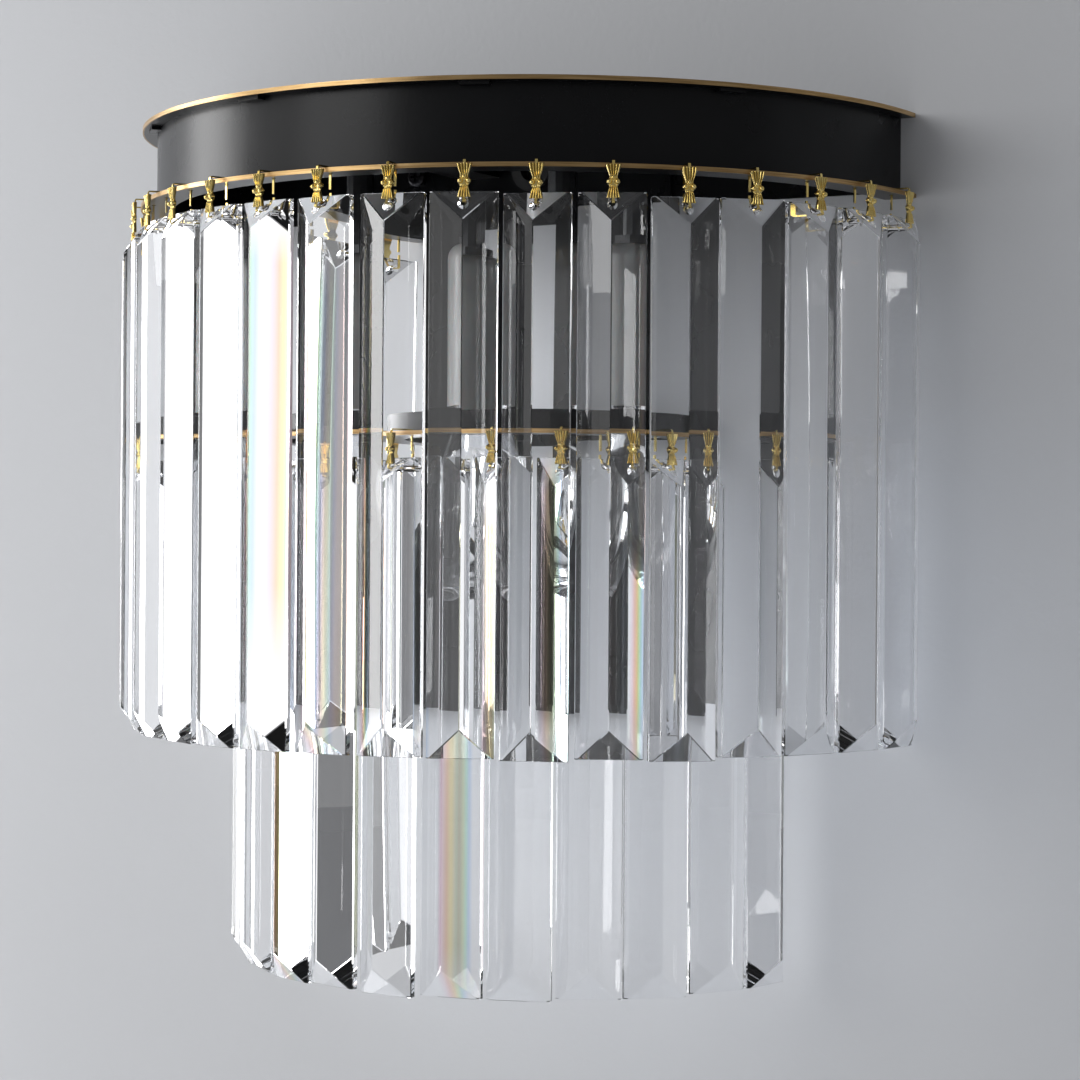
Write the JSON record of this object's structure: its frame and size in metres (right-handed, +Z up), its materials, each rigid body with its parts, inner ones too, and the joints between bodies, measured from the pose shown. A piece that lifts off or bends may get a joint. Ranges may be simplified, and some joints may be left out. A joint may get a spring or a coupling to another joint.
{
  "type": "wall sconce",
  "caption": "Half-round wall sconce: black canopy with gold edges, two tiers of hanging cut-glass prisms on bow clips, candle lamps inside.",
  "frame": {"origin": "on the wall plane, midway between the two wall screw slots, at the level of the cover screws", "axes": "+Z up, +X to the right seen from the room, +Y into the wall, so the front faces -Y"},
  "size_m": [0.3142, 0.1576, 0.308],
  "materials": {
    "canopy_paint": "satin black with antique gold edges",
    "zinc_steel": "zinc plated",
    "black_screws": "black oxide",
    "brass": "polished",
    "rubber": "matt",
    "white_plastic": "moulded",
    "lead_sleeve": "heat-proof sleeve",
    "candle_plastic": "satin moulded",
    "holder_plastic": "moulded thermoset",
    "bulb_glass": "clear bulb glass on a nickel cap",
    "crystal": "cut and polished"
  },
  "bodies": {
    "root": {"top_plate": "canopy_paint", "canopy_band": "canopy_paint", "upper_hanging_ring": "canopy_paint", "canopy_back": "canopy_paint", "back_plate": "canopy_paint", "wall_bracket": "zinc_steel", "cover_screws": "black_screws", "earth_screw": "brass", "cable_grommet": "rubber", "lower_hanging_ring": "canopy_paint", "lower_band": "canopy_paint", "lower_back_bar": "canopy_paint", "lower_bar_screws": "black_screws", "lamp_bracket": "canopy_paint", "bracket_screws": "black_screws", "threaded_nipples": "zinc_steel", "lock_nuts": "zinc_steel", "terminal_block": "white_plastic", "lamp_leads": "lead_sleeve", "candle_sleeve_left": "candle_plastic", "candle_sleeve_right": "candle_plastic", "lamp_holder_left": "holder_plastic", "lamp_holder_right": "holder_plastic", "bulb_left": "bulb_glass", "bulb_right": "bulb_glass", "upper_clips": "brass", "lower_clips": "brass"},
    "upper_crystal_01": {"upper_crystal_01": "crystal"},
    "upper_crystal_02": {"upper_crystal_02": "crystal"},
    "upper_crystal_03": {"upper_crystal_03": "crystal"},
    "upper_crystal_04": {"upper_crystal_04": "crystal"},
    "upper_crystal_05": {"upper_crystal_05": "crystal"},
    "upper_crystal_06": {"upper_crystal_06": "crystal"},
    "upper_crystal_07": {"upper_crystal_07": "crystal"},
    "upper_crystal_08": {"upper_crystal_08": "crystal"},
    "upper_crystal_09": {"upper_crystal_09": "crystal"},
    "upper_crystal_10": {"upper_crystal_10": "crystal"},
    "upper_crystal_11": {"upper_crystal_11": "crystal"},
    "upper_crystal_12": {"upper_crystal_12": "crystal"},
    "upper_crystal_13": {"upper_crystal_13": "crystal"},
    "upper_crystal_14": {"upper_crystal_14": "crystal"},
    "upper_crystal_15": {"upper_crystal_15": "crystal"},
    "upper_crystal_16": {"upper_crystal_16": "crystal"},
    "upper_crystal_17": {"upper_crystal_17": "crystal"},
    "upper_crystal_18": {"upper_crystal_18": "crystal"},
    "upper_crystal_19": {"upper_crystal_19": "crystal"},
    "lower_crystal_01": {"lower_crystal_01": "crystal"},
    "lower_crystal_02": {"lower_crystal_02": "crystal"},
    "lower_crystal_03": {"lower_crystal_03": "crystal"},
    "lower_crystal_04": {"lower_crystal_04": "crystal"},
    "lower_crystal_05": {"lower_crystal_05": "crystal"},
    "lower_crystal_06": {"lower_crystal_06": "crystal"},
    "lower_crystal_07": {"lower_crystal_07": "crystal"},
    "lower_crystal_08": {"lower_crystal_08": "crystal"},
    "lower_crystal_09": {"lower_crystal_09": "crystal"},
    "lower_crystal_10": {"lower_crystal_10": "crystal"},
    "lower_crystal_11": {"lower_crystal_11": "crystal"},
    "lower_crystal_12": {"lower_crystal_12": "crystal"},
    "lower_crystal_13": {"lower_crystal_13": "crystal"}
  },
  "joints": [
    {"name": "upper_swing_01", "type": "hinge", "parent": "root", "child": "upper_crystal_01", "pos_m": [-0.14889, -0.01234, -0.0293], "axis": [-0.0826, 0.9966, 0], "range_deg": [-2.5, 10]},
    {"name": "upper_swing_02", "type": "hinge", "parent": "root", "child": "upper_crystal_02", "pos_m": [-0.14483, -0.03668, -0.0293], "axis": [-0.2455, 0.9694, 0], "range_deg": [-2.5, 10]},
    {"name": "upper_swing_03", "type": "hinge", "parent": "root", "child": "upper_crystal_03", "pos_m": [-0.13682, -0.06001, -0.0293], "axis": [-0.4017, 0.9158, 0], "range_deg": [-2.5, 10]},
    {"name": "upper_swing_04", "type": "hinge", "parent": "root", "child": "upper_crystal_04", "pos_m": [-0.12507, -0.08171, -0.0293], "axis": [-0.5469, 0.8372, 0], "range_deg": [-2.5, 10]},
    {"name": "upper_swing_05", "type": "hinge", "parent": "root", "child": "upper_crystal_05", "pos_m": [-0.10992, -0.10119, -0.0293], "axis": [-0.6773, 0.7357, 0], "range_deg": [-2.5, 10]},
    {"name": "upper_swing_06", "type": "hinge", "parent": "root", "child": "upper_crystal_06", "pos_m": [-0.09176, -0.1179, -0.0293], "axis": [-0.7891, 0.6142, 0], "range_deg": [-2.5, 10]},
    {"name": "upper_swing_07", "type": "hinge", "parent": "root", "child": "upper_crystal_07", "pos_m": [-0.07111, -0.13139, -0.0293], "axis": [-0.8795, 0.4759, 0], "range_deg": [-2.5, 10]},
    {"name": "upper_swing_08", "type": "hinge", "parent": "root", "child": "upper_crystal_08", "pos_m": [-0.04851, -0.14131, -0.0293], "axis": [-0.9458, 0.3247, 0], "range_deg": [-2.5, 10]},
    {"name": "upper_swing_09", "type": "hinge", "parent": "root", "child": "upper_crystal_09", "pos_m": [-0.02459, -0.14736, -0.0293], "axis": [-0.9864, 0.1646, 0], "range_deg": [-2.5, 10]},
    {"name": "upper_swing_10", "type": "hinge", "parent": "root", "child": "upper_crystal_10", "pos_m": [0, -0.1494, -0.0293], "axis": [-1, 0, 0], "range_deg": [-2.5, 10]},
    {"name": "upper_swing_11", "type": "hinge", "parent": "root", "child": "upper_crystal_11", "pos_m": [0.02459, -0.14736, -0.0293], "axis": [-0.9864, -0.1646, 0], "range_deg": [-2.5, 10]},
    {"name": "upper_swing_12", "type": "hinge", "parent": "root", "child": "upper_crystal_12", "pos_m": [0.04851, -0.14131, -0.0293], "axis": [-0.9458, -0.3247, 0], "range_deg": [-2.5, 10]},
    {"name": "upper_swing_13", "type": "hinge", "parent": "root", "child": "upper_crystal_13", "pos_m": [0.07111, -0.13139, -0.0293], "axis": [-0.8795, -0.4759, 0], "range_deg": [-2.5, 10]},
    {"name": "upper_swing_14", "type": "hinge", "parent": "root", "child": "upper_crystal_14", "pos_m": [0.09176, -0.1179, -0.0293], "axis": [-0.7891, -0.6142, 0], "range_deg": [-2.5, 10]},
    {"name": "upper_swing_15", "type": "hinge", "parent": "root", "child": "upper_crystal_15", "pos_m": [0.10992, -0.10119, -0.0293], "axis": [-0.6773, -0.7357, 0], "range_deg": [-2.5, 10]},
    {"name": "upper_swing_16", "type": "hinge", "parent": "root", "child": "upper_crystal_16", "pos_m": [0.12507, -0.08171, -0.0293], "axis": [-0.5469, -0.8372, 0], "range_deg": [-2.5, 10]},
    {"name": "upper_swing_17", "type": "hinge", "parent": "root", "child": "upper_crystal_17", "pos_m": [0.13682, -0.06001, -0.0293], "axis": [-0.4017, -0.9158, 0], "range_deg": [-2.5, 10]},
    {"name": "upper_swing_18", "type": "hinge", "parent": "root", "child": "upper_crystal_18", "pos_m": [0.14483, -0.03668, -0.0293], "axis": [-0.2455, -0.9694, 0], "range_deg": [-2.5, 10]},
    {"name": "upper_swing_19", "type": "hinge", "parent": "root", "child": "upper_crystal_19", "pos_m": [0.14889, -0.01234, -0.0293], "axis": [-0.0826, -0.9966, 0], "range_deg": [-2.5, 10]},
    {"name": "lower_swing_01", "type": "hinge", "parent": "root", "child": "lower_crystal_01", "pos_m": [-0.10451, -0.02385, -0.1143], "axis": [-0.2225, 0.9749, 0], "range_deg": [-1, 8]},
    {"name": "lower_swing_02", "type": "hinge", "parent": "root", "child": "lower_crystal_02", "pos_m": [-0.09658, -0.04651, -0.1143], "axis": [-0.4339, 0.901, 0], "range_deg": [-1, 8]},
    {"name": "lower_swing_03", "type": "hinge", "parent": "root", "child": "lower_crystal_03", "pos_m": [-0.08381, -0.06684, -0.1143], "axis": [-0.6235, 0.7818, 0], "range_deg": [-1, 8]},
    {"name": "lower_swing_04", "type": "hinge", "parent": "root", "child": "lower_crystal_04", "pos_m": [-0.06684, -0.08381, -0.1143], "axis": [-0.7818, 0.6235, 0], "range_deg": [-1, 8]},
    {"name": "lower_swing_05", "type": "hinge", "parent": "root", "child": "lower_crystal_05", "pos_m": [-0.04651, -0.09658, -0.1143], "axis": [-0.901, 0.4339, 0], "range_deg": [-1, 8]},
    {"name": "lower_swing_06", "type": "hinge", "parent": "root", "child": "lower_crystal_06", "pos_m": [-0.02385, -0.10451, -0.1143], "axis": [-0.9749, 0.2225, 0], "range_deg": [-1, 8]},
    {"name": "lower_swing_07", "type": "hinge", "parent": "root", "child": "lower_crystal_07", "pos_m": [0, -0.1072, -0.1143], "axis": [-1, 0, 0], "range_deg": [-1, 8]},
    {"name": "lower_swing_08", "type": "hinge", "parent": "root", "child": "lower_crystal_08", "pos_m": [0.02385, -0.10451, -0.1143], "axis": [-0.9749, -0.2225, 0], "range_deg": [-1, 8]},
    {"name": "lower_swing_09", "type": "hinge", "parent": "root", "child": "lower_crystal_09", "pos_m": [0.04651, -0.09658, -0.1143], "axis": [-0.901, -0.4339, 0], "range_deg": [-1, 8]},
    {"name": "lower_swing_10", "type": "hinge", "parent": "root", "child": "lower_crystal_10", "pos_m": [0.06684, -0.08381, -0.1143], "axis": [-0.7818, -0.6235, 0], "range_deg": [-1, 8]},
    {"name": "lower_swing_11", "type": "hinge", "parent": "root", "child": "lower_crystal_11", "pos_m": [0.08381, -0.06684, -0.1143], "axis": [-0.6235, -0.7818, 0], "range_deg": [-1, 8]},
    {"name": "lower_swing_12", "type": "hinge", "parent": "root", "child": "lower_crystal_12", "pos_m": [0.09658, -0.04651, -0.1143], "axis": [-0.4339, -0.901, 0], "range_deg": [-1, 8]},
    {"name": "lower_swing_13", "type": "hinge", "parent": "root", "child": "lower_crystal_13", "pos_m": [0.10451, -0.02385, -0.1143], "axis": [-0.2225, -0.9749, 0], "range_deg": [-1, 8]}
  ]
}
